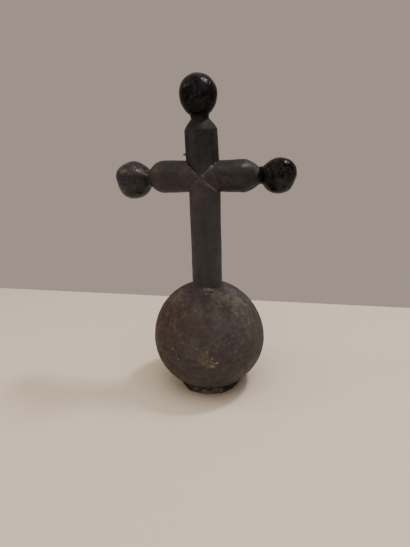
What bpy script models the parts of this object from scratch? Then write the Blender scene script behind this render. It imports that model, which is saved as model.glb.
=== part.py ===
"""Lead grave cross on a ball.

Four round lead members meet in a mitred cross under a raised run of solder.
The two side arms and the upper arm are drawn in to a neck, and each neck
carries a ball finial. The lowest member stands on an egg-shaped ball, and the
ball sits in a dressed lead foot.

Units are metres. The origin is the middle of the foot's underside, +Z is up,
+X runs along the right arm, and the front of the cross looks along -Y.
"""

from math import asin, cos, hypot, pi, radians, sin, sqrt, tan

import bmesh
import bpy
from mathutils import Vector

# Clearance that touching pieces keep from each other
GAP = 0.0003

# Foot: a dressed collar whose lip has blunt corners, as (degrees from +X, radius)
LIP_CORNERS = (
    (-163, 0.0329),
    (-120, 0.0336),
    (-92, 0.0327),
    (-57, 0.0339),
    (-26, 0.0326),
    (13, 0.0362),
    (50, 0.0330),
    (86, 0.0340),
    (124, 0.0327),
    (160, 0.0341),
)
FOOT_HEIGHT = 0.0058
LIP_THICKNESS = 0.0016
FOOT_BATTER = 0.0016
FOOT_FLOOR = 0.0020

# Ball: one half-width and two half-heights, because its upper half is the taller
BALL_RADIUS = 0.0588
BALL_RISE = 0.0610
BALL_DROP = 0.0545
BALL_CENTRE_Z = 0.0531
BALL_LEAN = 0.024

# The lowest member's radius, and how much thicker the other members of this stock
# are at their roots and at their ridges
SHAFT_RADIUS = 0.0153
UPPER_ROOT_SWELL = 0.0005
UPPER_RIDGE_SWELL = 0.0002
LEFT_ROOT_SWELL = -0.0004
LEFT_RIDGE_SWELL = 0.0003
RIGHT_ROOT_SWELL = -0.0007
RIGHT_RIDGE_SWELL = 0.0002
CROSSING_Z = 0.2227

# Mitre: where the four cut edges meet, from the middle of the crossing
MITRE_SHIFT_X = -0.0008
MITRE_SHIFT_Z = -0.0013

# Upper arm, measured along its own axis from the crossing
UPPER_ROOT_RADIUS = SHAFT_RADIUS + UPPER_ROOT_SWELL
UPPER_RIDGE_RADIUS = SHAFT_RADIUS + UPPER_RIDGE_SWELL
UPPER_RIDGE_AT = 0.0425
UPPER_NECK_RADIUS = 0.0084
UPPER_NECK_AT = 0.0520
UPPER_STUB = 0.0035
UPPER_SHOULDER_BULGE = 0.0005
UPPER_SHIFT = -0.0009
UPPER_LEAN = radians(-1.6)

# Left arm
LEFT_ROOT_RADIUS = SHAFT_RADIUS + LEFT_ROOT_SWELL
LEFT_RIDGE_RADIUS = SHAFT_RADIUS + LEFT_RIDGE_SWELL
LEFT_RIDGE_AT = 0.0418
LEFT_NECK_RADIUS = 0.0082
LEFT_NECK_AT = 0.0532
LEFT_STUB = 0.0008
LEFT_SHOULDER_BULGE = 0.0014
LEFT_DROOP = radians(0.8)

# Right arm
RIGHT_ROOT_RADIUS = SHAFT_RADIUS + RIGHT_ROOT_SWELL
RIGHT_RIDGE_RADIUS = SHAFT_RADIUS + RIGHT_RIDGE_SWELL
RIGHT_RIDGE_AT = 0.0398
RIGHT_NECK_RADIUS = 0.0078
RIGHT_NECK_AT = 0.0526
RIGHT_STUB = 0.0027
RIGHT_SHOULDER_BULGE = 0.0009
RIGHT_DROOP = radians(0.1)

# Finials: ball radius, half-length towards the neck, radius of the seat on the neck,
# sideways shift of the seat and tilt against the arm
TOP_FINIAL_RADIUS = 0.01735
TOP_FINIAL_INNER = 0.0219
TOP_FINIAL_SEAT = 0.0091
TOP_FINIAL_SHIFT = -0.0003
TOP_FINIAL_TILT = radians(-0.9)

LEFT_FINIAL_RADIUS = 0.0182
LEFT_FINIAL_INNER = 0.0182
LEFT_FINIAL_SEAT = 0.0078
LEFT_FINIAL_SHIFT = -0.0014
LEFT_FINIAL_TILT = radians(-3.0)

RIGHT_FINIAL_RADIUS = 0.0165
RIGHT_FINIAL_INNER = 0.0172
RIGHT_FINIAL_SEAT = 0.0078
RIGHT_FINIAL_SHIFT = -0.0006
RIGHT_FINIAL_TILT = radians(1.0)

# Solder
BEAD_RADIUS = 0.0013
BEAD_STAND = 0.0004
SHAFT_SOLDER_WIDTH = 0.0024
SHAFT_SOLDER_HEIGHT = 0.0026

# Fineness of the facets
BALL_SIDES = 52
BALL_RINGS = 26
MEMBER_SIDES = 36
FINIAL_SIDES = 28
FINIAL_STEPS = 7
SHOULDER_STEPS = 5
FOOT_SIDES = 54
BEAD_STEPS = 8

# An arm is plain as far as this share of the way to its ridge, and most of its swell is done by the second
PLAIN_SHARE = 0.35
SWELL_SHARE = 0.7
SWELL_DONE = 2 / 3

# Construction only: a member's run past the middle of the crossing before the mitre trims it,
# the shaft's run into the ball, and the reach of wedges and rods
RUN_PAST = 0.004
SHAFT_SINK = 0.030
CUTTER_REACH = 0.3
ROD_LENGTH = 4 * SHAFT_RADIUS
MERGE_DISTANCE = 0.000001
SHARP_ANGLE = radians(35)


def srgb(code):
    """Linear colour of an sRGB hex code."""
    channels = [int(code[i : i + 2], 16) / 255 for i in (1, 3, 5)]
    linear = [c / 12.92 if c <= 0.04045 else ((c + 0.055) / 1.055) ** 2.4 for c in channels]
    return (*linear, 1.0)


def lead(name, colour, roughness, metallic):
    """A Principled material for one tone of weathered lead."""
    material = bpy.data.materials.new(name)
    material.use_nodes = True
    shader = material.node_tree.nodes["Principled BSDF"]
    shader.inputs["Base Color"].default_value = srgb(colour)
    shader.inputs["Roughness"].default_value = roughness
    shader.inputs["Metallic"].default_value = metallic
    material.diffuse_color = srgb(colour)
    return material


def new_collection(name):
    made = bpy.data.collections.new(name)
    bpy.context.scene.collection.children.link(made)
    return made


def object_from(name, bm, collection, material=None):
    """Makes an object from a bmesh and frees the bmesh."""
    mesh = bpy.data.meshes.new(name)
    bm.to_mesh(mesh)
    bm.free()
    made = bpy.data.objects.new(name, mesh)
    collection.objects.link(made)
    if material:
        mesh.materials.append(material)
    mesh.shade_smooth()
    mesh.set_sharp_from_angle(angle=SHARP_ANGLE)
    return made


def cutter_from(name, bm, cutters):
    made = object_from(name, bm, cutters)
    made.hide_render = True
    made.display_type = "WIRE"
    return made


def turned(name, profile, sides, collection, material):
    """Turns a profile, listed from the top down its outer side, about +Z."""
    bm = bmesh.new()
    points = [bm.verts.new((radius, 0.0, z)) for radius, z in profile]
    for upper, lower in zip(points, points[1:]):
        bm.edges.new((upper, lower))
    made = object_from(name, bm, collection, material)
    screw = made.modifiers.new("Turned", "SCREW")
    screw.axis = "Z"
    screw.steps = sides
    screw.render_steps = sides
    screw.use_merge_vertices = True
    screw.merge_threshold = MERGE_DISTANCE
    screw.use_smooth_shade = True
    return made


def trim(target, cutter, operation):
    cut = target.modifiers.new(cutter.name, "BOOLEAN")
    cut.operation = operation
    cut.solver = "EXACT"
    cut.object = cutter


def bulged(start, end, bulge, steps):
    """Points of a shallow arc from start to end, both left out, that stands out by bulge."""
    run, rise = end[0] - start[0], end[1] - start[1]
    length = hypot(run, rise)
    across = (-rise / length, run / length)
    if across[0] < 0:
        across = (-across[0], -across[1])
    points = []
    for step in range(1, steps):
        share = step / steps
        stand = 4 * bulge * share * (1 - share)
        radius = start[0] + run * share + across[0] * stand
        points.append((radius, start[1] + rise * share + across[1] * stand))
    return points


def arm_profile(root_radius, ridge_radius, ridge_at, neck_radius, neck_at, stub, bulge):
    """Outer end first: neck stub, drawn-in shoulder, ridge, and the plain run to the crossing."""
    neck, ridge = (neck_radius, neck_at), (ridge_radius, ridge_at)
    swollen = root_radius + (ridge_radius - root_radius) * SWELL_DONE
    return [
        (0.0, neck_at + stub),
        (neck_radius, neck_at + stub),
        neck,
        *bulged(neck, ridge, bulge, SHOULDER_STEPS),
        ridge,
        (swollen, SWELL_SHARE * ridge_at),
        (root_radius, PLAIN_SHARE * ridge_at),
        (root_radius, -RUN_PAST),
        (0.0, -RUN_PAST),
    ]


def finial_length(radius, inner, seat):
    """Distance from a finial's seat to the widest part of its ball."""
    return inner * sqrt(1 - (seat / radius) ** 2)


def finial_profile(radius, inner, seat):
    """A ball that is drawn out on its inner side and cut off square at its seat."""
    centre = finial_length(radius, inner, seat)
    outer = [(radius * sin(t), centre + radius * cos(t)) for t in arc_angles(0.0, pi / 2)]
    last = asin(centre / inner)
    near = [(radius * cos(t), centre - inner * sin(t)) for t in arc_angles(0.0, last)]
    return [(0.0, centre + radius), *outer[1:], *near[1:], (0.0, 0.0)]


def arc_angles(start, end):
    return [start + (end - start) * step / FINIAL_STEPS for step in range(FINIAL_STEPS + 1)]


def across_at(height, reach):
    """Middle and half-width, at a height above the crossing, of the upright member there."""
    if height > 0:
        return UPPER_SHIFT + height * tan(UPPER_LEAN), UPPER_ROOT_RADIUS + reach
    return 0.0, SHAFT_RADIUS + reach


def height_at(across, reach):
    """Middle and half-height, at a distance across the crossing, of the side arm there."""
    if across > 0:
        return -across * tan(RIGHT_DROOP), RIGHT_ROOT_RADIUS + reach
    return across * tan(LEFT_DROOP), LEFT_ROOT_RADIUS + reach


def inner_corner(side, level, reach=0.0):
    """Where the outlines of two neighbouring members meet, as (x, z) from the crossing's middle."""
    middle, half_height = height_at(side * SHAFT_RADIUS, reach)
    height = middle + level * half_height
    middle, half_width = across_at(height, reach)
    return Vector((middle + side * half_width, height))


def wedge(name, towards, clearance, cutters):
    """The share of space that the mitre leaves to one member, opening along `towards` degrees from +X."""
    apex = Vector((MITRE_SHIFT_X, MITRE_SHIFT_Z))
    edges = []
    for side in (-45, 45):
        turn = radians(towards + side)
        corner = inner_corner(round(sqrt(2) * cos(turn)), round(sqrt(2) * sin(turn)))
        edges.append((corner - apex).normalized())
    half_angle = edges[0].angle(edges[1]) / 2
    apex += (edges[0] + edges[1]).normalized() * clearance / 2 / sin(half_angle)
    outline = (apex, apex + CUTTER_REACH * edges[0], apex + CUTTER_REACH * edges[1])
    bm = bmesh.new()
    face = bm.faces.new([bm.verts.new((x, -CUTTER_REACH / 2, CROSSING_Z + z)) for x, z in outline])
    pulled = bmesh.ops.extrude_face_region(bm, geom=[face])["geom"]
    moved = [item for item in pulled if isinstance(item, bmesh.types.BMVert)]
    bmesh.ops.translate(bm, verts=moved, vec=(0.0, CUTTER_REACH, 0.0))
    bmesh.ops.recalc_face_normals(bm, faces=bm.faces)
    return cutter_from(name, bm, cutters)


def ball_bmesh(growth):
    """The egg-shaped ball, grown all round by `growth` and cut flat where it sits in the foot."""
    bm = bmesh.new()
    bmesh.ops.create_uvsphere(bm, u_segments=BALL_SIDES, v_segments=BALL_RINGS, radius=1.0)
    for vert in bm.verts:
        half_height = (BALL_RISE if vert.co.z > 0 else BALL_DROP) + growth
        lift = vert.co.z * half_height
        vert.co.x = vert.co.x * (BALL_RADIUS + growth) - BALL_LEAN * lift
        vert.co.y *= BALL_RADIUS + growth
        vert.co.z = BALL_CENTRE_Z + lift
    seat = (0.0, 0.0, FOOT_FLOOR + GAP - growth)
    everything = bm.verts[:] + bm.edges[:] + bm.faces[:]
    cut = bmesh.ops.bisect_plane(bm, geom=everything, plane_co=seat, plane_no=(0, 0, -1), clear_outer=True)
    rim = [item for item in cut["geom_cut"] if isinstance(item, bmesh.types.BMEdge)]
    bmesh.ops.edgeloop_fill(bm, edges=rim)
    bmesh.ops.recalc_face_normals(bm, faces=bm.faces)
    return bm


def ball_height(radius):
    """Height of the ball's upper surface at a distance from its axis."""
    return BALL_CENTRE_Z + BALL_RISE * sqrt(1 - (radius / BALL_RADIUS) ** 2)


def lip_radius(angle):
    """Radius of the foot's lip at an angle in degrees: straight dressed flats between the corners."""
    corners = [*LIP_CORNERS, (LIP_CORNERS[0][0] + 360, LIP_CORNERS[0][1])]
    turned_on = (angle - corners[0][0]) % 360 + corners[0][0]
    for (start, near), (end, far) in zip(corners, corners[1:]):
        if start <= turned_on <= end:
            break
    near_side, far_side = radians(turned_on - start), radians(end - turned_on)
    flat = near * far * sin(near_side + far_side) / (near * sin(near_side) + far * sin(far_side))
    round_ = near + (far - near) * near_side / (near_side + far_side)
    return (flat + round_) / 2


def foot_bmesh():
    """The foot's block: a lip, then a wall that leans in."""
    bm = bmesh.new()
    bmesh.ops.create_circle(bm, segments=FOOT_SIDES, radius=1.0)
    ring = bm.edges[:]
    for z, inset in ((0.0, 0.0), (LIP_THICKNESS, 0.0), (FOOT_HEIGHT, FOOT_BATTER)):
        if z:
            ring = [
                item
                for item in bmesh.ops.extrude_edge_only(bm, edges=ring)["geom"]
                if isinstance(item, bmesh.types.BMEdge) and item.is_boundary
            ]
        verts = {vert for edge in ring for vert in edge.verts}
        for vert in verts:
            angle = vert.co.xy.angle_signed((1.0, 0.0))
            radius = lip_radius(angle * 180 / pi) - inset
            vert.co = (radius * cos(angle), radius * sin(angle), z)
        if z == 0.0 or z == FOOT_HEIGHT:
            bmesh.ops.edgeloop_fill(bm, edges=ring)
    bmesh.ops.recalc_face_normals(bm, faces=bm.faces)
    return bm


def make_foot(parts, cutters):
    """The foot, hollowed on top to take the ball."""
    foot = object_from("foot_collar", foot_bmesh(), parts, lead("Lead, foot", "#2B2622", 0.7, 0.4))
    trim(foot, cutters.objects["ball_clearance"], "DIFFERENCE")


def make_ball(parts):
    object_from("base_ball", ball_bmesh(0.0), parts, lead("Lead, grey-brown ball", "#4B423B", 0.75, 0.3))


def make_shaft(parts, cutters):
    """The lowest member: its foot is scribed to the ball and its head is mitred."""
    bottom = ball_height(SHAFT_RADIUS) - SHAFT_SINK
    top = CROSSING_Z + RUN_PAST
    profile = [(0.0, top), (SHAFT_RADIUS, top), (SHAFT_RADIUS, bottom), (0.0, bottom)]
    shaft = turned("shaft", profile, MEMBER_SIDES, parts, lead("Lead, brown shaft", "#302B28", 0.6, 0.4))
    trim(shaft, cutters.objects["ball_clearance"], "DIFFERENCE")
    trim(shaft, wedge("mitre_below", -90, GAP, cutters), "INTERSECT")


def make_arm(name, towards, profile, location, tilt, crossing, parts, cutters, material):
    """One mitred arm, whose own +Z runs outwards along `towards` degrees from +X."""
    arm = turned(name, profile, MEMBER_SIDES, parts, material)
    arm.parent = crossing
    arm.location = location
    arm.rotation_euler.y = radians(90 - towards) + tilt
    trim(arm, wedge("mitre_" + name, towards, GAP, cutters), "INTERSECT")
    return arm


def make_finial(name, arm, arm_end, radius, inner, seat, shift, tilt, parts, material):
    """A ball finial on an arm's end, tilted about its seat and lifted clear of the neck."""
    finial = turned(name, finial_profile(radius, inner, seat), FINIAL_SIDES, parts, material)
    finial.parent = arm
    finial.location = (shift, 0.0, arm_end + GAP + seat * sin(abs(tilt)))
    finial.rotation_euler.y = tilt


def make_arms(crossing, parts, cutters):
    """The three arms and their finials."""
    brown = lead("Lead, brown arms", "#30282A", 0.55, 0.5)
    dark = lead("Lead, dark upper arm", "#22201F", 0.55, 0.5)
    black = lead("Lead, black finials", "#181716", 0.4, 0.5)
    upper = make_arm(
        "upper_arm",
        90,
        arm_profile(
            UPPER_ROOT_RADIUS,
            UPPER_RIDGE_RADIUS,
            UPPER_RIDGE_AT,
            UPPER_NECK_RADIUS,
            UPPER_NECK_AT,
            UPPER_STUB,
            UPPER_SHOULDER_BULGE,
        ),
        (UPPER_SHIFT, 0.0, 0.0),
        UPPER_LEAN,
        crossing,
        parts,
        cutters,
        dark,
    )
    left = make_arm(
        "left_arm",
        180,
        arm_profile(
            LEFT_ROOT_RADIUS,
            LEFT_RIDGE_RADIUS,
            LEFT_RIDGE_AT,
            LEFT_NECK_RADIUS,
            LEFT_NECK_AT,
            LEFT_STUB,
            LEFT_SHOULDER_BULGE,
        ),
        (0.0, 0.0, 0.0),
        -LEFT_DROOP,
        crossing,
        parts,
        cutters,
        brown,
    )
    right = make_arm(
        "right_arm",
        0,
        arm_profile(
            RIGHT_ROOT_RADIUS,
            RIGHT_RIDGE_RADIUS,
            RIGHT_RIDGE_AT,
            RIGHT_NECK_RADIUS,
            RIGHT_NECK_AT,
            RIGHT_STUB,
            RIGHT_SHOULDER_BULGE,
        ),
        (0.0, 0.0, 0.0),
        RIGHT_DROOP,
        crossing,
        parts,
        cutters,
        brown,
    )
    make_finial(
        "top_finial",
        upper,
        UPPER_NECK_AT + UPPER_STUB,
        TOP_FINIAL_RADIUS,
        TOP_FINIAL_INNER,
        TOP_FINIAL_SEAT,
        TOP_FINIAL_SHIFT,
        TOP_FINIAL_TILT,
        parts,
        black,
    )
    make_finial(
        "left_finial",
        left,
        LEFT_NECK_AT + LEFT_STUB,
        LEFT_FINIAL_RADIUS,
        LEFT_FINIAL_INNER,
        LEFT_FINIAL_SEAT,
        LEFT_FINIAL_SHIFT,
        LEFT_FINIAL_TILT,
        parts,
        black,
    )
    make_finial(
        "right_finial",
        right,
        RIGHT_NECK_AT + RIGHT_STUB,
        RIGHT_FINIAL_RADIUS,
        RIGHT_FINIAL_INNER,
        RIGHT_FINIAL_SEAT,
        RIGHT_FINIAL_SHIFT,
        RIGHT_FINIAL_TILT,
        parts,
        black,
    )


def seam_points(side, level):
    """Points of a half mitre on the front, from the middle of the crossing out to one inner corner."""
    apex = Vector((MITRE_SHIFT_X, MITRE_SHIFT_Z))
    corner = inner_corner(side, level, BEAD_STAND)
    points = []
    for step in range(BEAD_STEPS + 1):
        x, z = apex.lerp(corner, sin(pi / 2 * step / BEAD_STEPS))
        middle, half_width = across_at(level * abs(z), BEAD_STAND)
        upright = half_width**2 - (x - middle) ** 2
        middle, half_height = height_at(side * abs(x), BEAD_STAND)
        lying = half_height**2 - (z - middle) ** 2
        points.append(Vector((x, -sqrt(max(upright, lying, 0.0)), CROSSING_Z + z)))
    return points


def seam_ring(name, slope, collection):
    """A closed tube along one mitre, round the front and the back of the members."""
    front = [*reversed(seam_points(-1, -slope)), *seam_points(1, slope)[1:]]
    back = [Vector((point.x, -point.y, point.z)) for point in reversed(front[1:-1])]
    curve = bpy.data.curves.new(name, "CURVE")
    curve.dimensions = "3D"
    curve.bevel_depth = BEAD_RADIUS
    curve.bevel_resolution = 1
    spline = curve.splines.new("POLY")
    spline.points.add(len(front) + len(back) - 1)
    spline.use_cyclic_u = True
    for point, place in zip(spline.points, front + back):
        point.co = (*place, 1.0)
    ring = bpy.data.objects.new(name, curve)
    collection.objects.link(ring)
    return ring


def as_mesh(curve_object):
    """Puts a mesh object in a curve object's place."""
    graph = bpy.context.evaluated_depsgraph_get()
    mesh = bpy.data.meshes.new_from_object(curve_object.evaluated_get(graph))
    bm = bmesh.new()
    bm.from_mesh(mesh)
    bmesh.ops.remove_doubles(bm, verts=bm.verts, dist=MERGE_DISTANCE)
    bmesh.ops.recalc_face_normals(bm, faces=bm.faces)
    bm.to_mesh(mesh)
    bm.free()
    name, collection = curve_object.name, curve_object.users_collection[0]
    bpy.data.objects.remove(curve_object)
    made = bpy.data.objects.new(name, mesh)
    collection.objects.link(made)
    return made


def clearance_rod(name, towards, radius, location, tilt, crossing, cutters):
    """A rod along one member, grown by the gap and mitred a little full, that clears the bead from it."""
    bm = bmesh.new()
    grown = radius + GAP
    bmesh.ops.create_cone(
        bm, cap_ends=True, segments=MEMBER_SIDES, radius1=grown, radius2=grown, depth=ROD_LENGTH
    )
    bmesh.ops.translate(bm, verts=bm.verts, vec=(0.0, 0.0, ROD_LENGTH / 2 - RUN_PAST))
    rod = cutter_from(name, bm, cutters)
    rod.parent = crossing
    rod.location = location
    rod.rotation_euler.y = radians(90 - towards) + tilt
    trim(rod, wedge("mitre_" + name, towards, -GAP, cutters), "INTERSECT")
    return rod


def make_crossing_solder(crossing, parts, cutters):
    """The raised run of solder over the four mitres, one X on each face."""
    bead = as_mesh(seam_ring("crossing_solder", 1, parts))
    bead.data.materials.append(lead("Solder, crossing", "#3A3230", 0.5, 0.6))
    other = as_mesh(seam_ring("falling_seam", -1, cutters))
    other.hide_render = True
    other.display_type = "WIRE"
    trim(bead, other, "UNION")
    rods = (
        ("clear_below", -90, SHAFT_RADIUS, (0.0, 0.0, 0.0), 0.0),
        ("clear_above", 90, UPPER_ROOT_RADIUS, (UPPER_SHIFT, 0.0, 0.0), UPPER_LEAN),
        ("clear_left", 180, LEFT_ROOT_RADIUS, (0.0, 0.0, 0.0), -LEFT_DROOP),
        ("clear_right", 0, RIGHT_ROOT_RADIUS, (0.0, 0.0, 0.0), RIGHT_DROOP),
    )
    for name, towards, radius, location, tilt in rods:
        rod = clearance_rod(name, towards, radius, location, tilt, crossing, cutters)
        trim(bead, rod, "DIFFERENCE")


def make_shaft_solder(parts, cutters):
    """The fillet of solder in the corner between shaft and ball."""
    inner = SHAFT_RADIUS + GAP
    outer = inner + SHAFT_SOLDER_WIDTH
    top = ball_height(SHAFT_RADIUS) + SHAFT_SOLDER_HEIGHT
    toe = ball_height(outer) + GAP
    sunk = toe - SHAFT_SOLDER_HEIGHT
    middle = (inner + SHAFT_SOLDER_WIDTH / 3, toe + (top - toe) / 3)
    profile = [(inner, top), middle, (outer, toe), (outer, sunk), (inner, sunk), (inner, top)]
    tone = lead("Solder, shaft", "#3B342F", 0.5, 0.6)
    solder = turned("shaft_solder", profile, MEMBER_SIDES, parts, tone)
    trim(solder, cutters.objects["ball_clearance"], "DIFFERENCE")


def main():
    for leftover in list(bpy.data.objects):
        bpy.data.objects.remove(leftover)
    parts = new_collection("Lead grave cross")
    cutters = new_collection("Cutters")
    crossing = bpy.data.objects.new("crossing", None)
    crossing.location = (0.0, 0.0, CROSSING_Z)
    parts.objects.link(crossing)
    cutter_from("ball_clearance", ball_bmesh(GAP), cutters)
    make_foot(parts, cutters)
    make_ball(parts)
    make_shaft(parts, cutters)
    make_arms(crossing, parts, cutters)
    make_crossing_solder(crossing, parts, cutters)
    make_shaft_solder(parts, cutters)


if __name__ == "__main__":
    main()
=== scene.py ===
"""Looks of a lead grave cross on a ball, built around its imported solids."""

from math import asin, atan2, cos, hypot, pi, radians, sin, sqrt, tan

import bmesh
import bpy
from mathutils import Matrix, Vector, noise


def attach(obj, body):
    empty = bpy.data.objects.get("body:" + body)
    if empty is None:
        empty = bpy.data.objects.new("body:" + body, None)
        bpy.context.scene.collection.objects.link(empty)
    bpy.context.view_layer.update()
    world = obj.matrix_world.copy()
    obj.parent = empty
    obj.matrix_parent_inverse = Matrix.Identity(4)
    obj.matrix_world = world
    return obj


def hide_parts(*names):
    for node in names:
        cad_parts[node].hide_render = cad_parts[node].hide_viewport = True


bl_info = {
    "name": "Lead Grave Cross",
    "version": (1, 0, 0),
    "blender": (4, 5, 0),
    "location": "View3D > Sidebar > Grave Cross",
    "description": "Makes a weathered lead grave cross with ball finials on a ball",
    "category": "Object",
}

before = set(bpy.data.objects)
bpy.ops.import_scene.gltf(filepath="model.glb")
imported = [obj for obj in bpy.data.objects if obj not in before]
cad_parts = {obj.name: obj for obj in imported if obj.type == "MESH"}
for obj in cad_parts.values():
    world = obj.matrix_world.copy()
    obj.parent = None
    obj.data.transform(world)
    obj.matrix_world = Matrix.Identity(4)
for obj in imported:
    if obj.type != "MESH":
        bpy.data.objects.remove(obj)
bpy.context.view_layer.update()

MM = 0.001
FULL_TURN = 2 * pi

# Points nearer to each other than this are one
WELD = 0.001 * MM

# Steps round each kind of piece, and along and round the solder over the mitres
FOOT_STEPS = 360
BALL_STEPS = (370, 185)
MEMBER_STEPS = 190
FINIAL_STEPS = 180
FILLET_STEPS = 240
HALF_BEAD_STEPS = 60
BEAD_SIDES = 18
DROP_STEPS = (36, 20)

# How far a member runs on past its joint, inside the next piece
RUN_PAST = 4 * MM

# The photograph's frame in pixels, and its camera as fitted to the cross
FRAME_WIDTH = 410
FRAME_HEIGHT = 547
FOCAL_PIXELS = 430
SENSOR = 36.0
CAMERA_AZIMUTH = radians(13.0)
CAMERA_DISTANCE = 0.42227
CAMERA_HEIGHT = 0.26649
CAMERA_PAN = radians(-0.326)
CAMERA_PITCH = radians(18.68)
CAMERA_ROLL = radians(1.862)

# Blunt corners of the foot's lip, as (degrees from +X, radius in mm)
LIP_CORNERS = (
    (-163, 32.9),
    (-120, 33.6),
    (-92, 32.7),
    (-57, 33.9),
    (-26, 32.6),
    (13, 36.2),
    (50, 33.0),
    (86, 34.0),
    (124, 32.7),
    (160, 34.1),
)


# Share of a straight line in the lip's flats, the rest being round
LIP_FLATNESS = 0.7


def hex_colour(code):
    """Linear RGB of an sRGB hex code."""
    channels = [int(code[i : i + 2], 16) / 255 for i in (1, 3, 5)]
    return [c / 12.92 if c <= 0.04045 else ((c + 0.055) / 1.055) ** 2.4 for c in channels]


def length(name, description, default):
    """A size in metres."""
    return bpy.props.FloatProperty(
        name=name, description=description, default=default, unit="LENGTH", precision=5
    )


def angle(name, description, default):
    """An angle, given in degrees."""
    return bpy.props.FloatProperty(
        name=name, description=description, default=radians(default), unit="ROTATION"
    )


def colour(name, description, code):
    """A colour, given as an sRGB hex code."""
    return bpy.props.FloatVectorProperty(
        name=name, description=description, subtype="COLOR", size=3, min=0, max=1, default=hex_colour(code)
    )


class ArmSizes(bpy.types.PropertyGroup):
    """One arm of the cross, measured along its own axis from the crossing."""

    root: length("Root radius", "Radius where the arm leaves the crossing", 0.0150)
    ridge: length("Ridge radius", "Radius at the ridge before the shoulder", 0.0155)
    ridge_at: length("Ridge at", "Distance of the ridge from the crossing", 0.0400)
    neck: length("Neck radius", "Radius of the neck", 0.0080)
    neck_at: length("Neck at", "Distance of the neck from the crossing", 0.0525)
    stub: length("Stub", "Length of the plain neck under the finial", 0.0020)
    bulge: length("Shoulder bulge", "How far the shoulder stands out from a plain cone", 0.0010)
    shift: length("Shift", "Sideways shift of the arm at the crossing", 0.0)
    towards: angle("Towards", "Direction of the arm from the right, turning upwards", 0.0)
    tilt: angle("Tilt", "How far the arm has sunk from true, turning clockwise from the front", 0.0)
    ball: length("Ball radius", "Radius of the finial's ball", 0.0170)
    inner: length("Inner half-length", "Length of the ball's half towards the neck", 0.0180)
    seat: length("Seat radius", "Radius of the finial where it meets the neck", 0.0080)
    ball_shift: length("Ball shift", "Sideways shift of the finial on the neck", 0.0)
    ball_tilt: angle("Ball tilt", "Tilt of the finial against its arm", 0.0)


class CrossSizes(bpy.types.PropertyGroup):
    """Sizes of the ball, the foot, the shaft and the solder."""

    ball_radius: length("Ball radius", "Half-width of the large ball", 0.0588)
    ball_rise: length("Ball rise", "Height of the ball's upper half", 0.0610)
    ball_drop: length("Ball drop", "Height of the ball's lower half", 0.0545)
    ball_centre: length("Ball centre", "Height of the ball's widest part", 0.0531)
    ball_lean: bpy.props.FloatProperty(
        name="Ball lean", description="Sideways shear of the ball, as a share of height", default=0.024
    )
    foot_height: length("Foot height", "Height of the foot's wall", 0.0058)
    lip_thickness: length("Lip thickness", "Height of the foot's plain lip", 0.0016)
    foot_batter: length("Foot batter", "How far the foot's wall leans in", 0.0016)
    foot_floor: length("Foot floor", "Thickness of the foot under the ball", 0.0020)
    shaft_radius: length("Shaft radius", "Radius of the lowest member", 0.0153)
    crossing: length("Crossing", "Height of the middle of the crossing", 0.2227)
    mitre_x: length("Mitre across", "Sideways place where the four mitres meet", -0.0008)
    mitre_z: length("Mitre up", "Height from the crossing where the four mitres meet", -0.0013)
    bead: length("Bead radius", "Radius of the run of solder over the mitres", 0.0028)
    bead_sunk: length("Bead sunk", "How deep the middle of the run lies under the members' surface", 0.0021)
    fillet_width: length("Fillet width", "Width of the solder round the shaft", 0.0024)
    fillet_height: length("Fillet height", "Height of the solder up the shaft", 0.0026)


class CrossColours(bpy.types.PropertyGroup):
    """Tones of the weathered lead."""

    ball_body: colour("Ball", "Grey-brown patina of the large ball", "#433F42")
    ball_brown: colour("Ball, brown", "Rust-brown stain on the left of the ball", "#40342E")
    ball_grey: colour("Ball, grey", "Cooler grey of the right of the ball", "#413D40")
    ball_green: colour("Ball, green", "Greenish-grey bloom beside the shaft, and mottle elsewhere", "#5D5C54")
    ball_deep: colour("Ball, deep", "Dark patches of the ball", "#322D2E")
    # Also laid by the left finial's neck, where it is partly a painted highlight
    crust: colour("Crust", "Yellowish crust of lead carbonate", "#6A6458")
    # Also laid as a painted highlight on the right arm's ridge, and as painted bounce light low on the ball's
    # right
    pale: colour("Pale specks", "Pale specks and rubbed spots", "#8A8480")
    shaft_body: colour("Shaft", "Dull brown-black of the shaft", "#393A3C")
    arm_body: colour("Left arm", "Rubbed brown of the left arm", "#343135")
    # The left arm's lead painted darker all over, as painted shade on the right arm
    right_arm_shaded_tone: colour("Right arm", "Cooler, darker grey of the right arm", "#28272A")
    upper_body: colour("Upper arm", "Dark grey of the upper arm", "#222428")
    finial_body: colour("Finials", "Near-black of the finials", "#080809")
    # Grey bloom, and also painted grey highlights high on the top and right finials
    finial_bloom_and_highlight: colour("Finials, bloom", "Grey bloom on the finials", "#252628")
    solder_body: colour("Solder", "Rubbed solder", "#474547")
    foot_body: colour("Foot", "Dark dirty lead of the foot", "#5A4E47")
    # Also laid as a painted highlight at the left finial's upper right
    tint: colour("Handled tint", "Purplish tint near the crossing and in patches of the ball", "#4A4047")
    # Painted cool reflection where the finials and the upper arm face the front; a cool grey patch on the
    # right arm and the shaft's head
    cool: colour("Cool sheen", "Cool grey in front of the finials and the upper arm", "#2B2E35")
    rust: colour("Brown rims", "Brown of the finials' rims", "#241C19")
    floor: colour("Floor", "Plain pale floor", "#DFD8CA")
    backdrop: colour("Backdrop", "Plain backdrop", "#A8988F")


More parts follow.
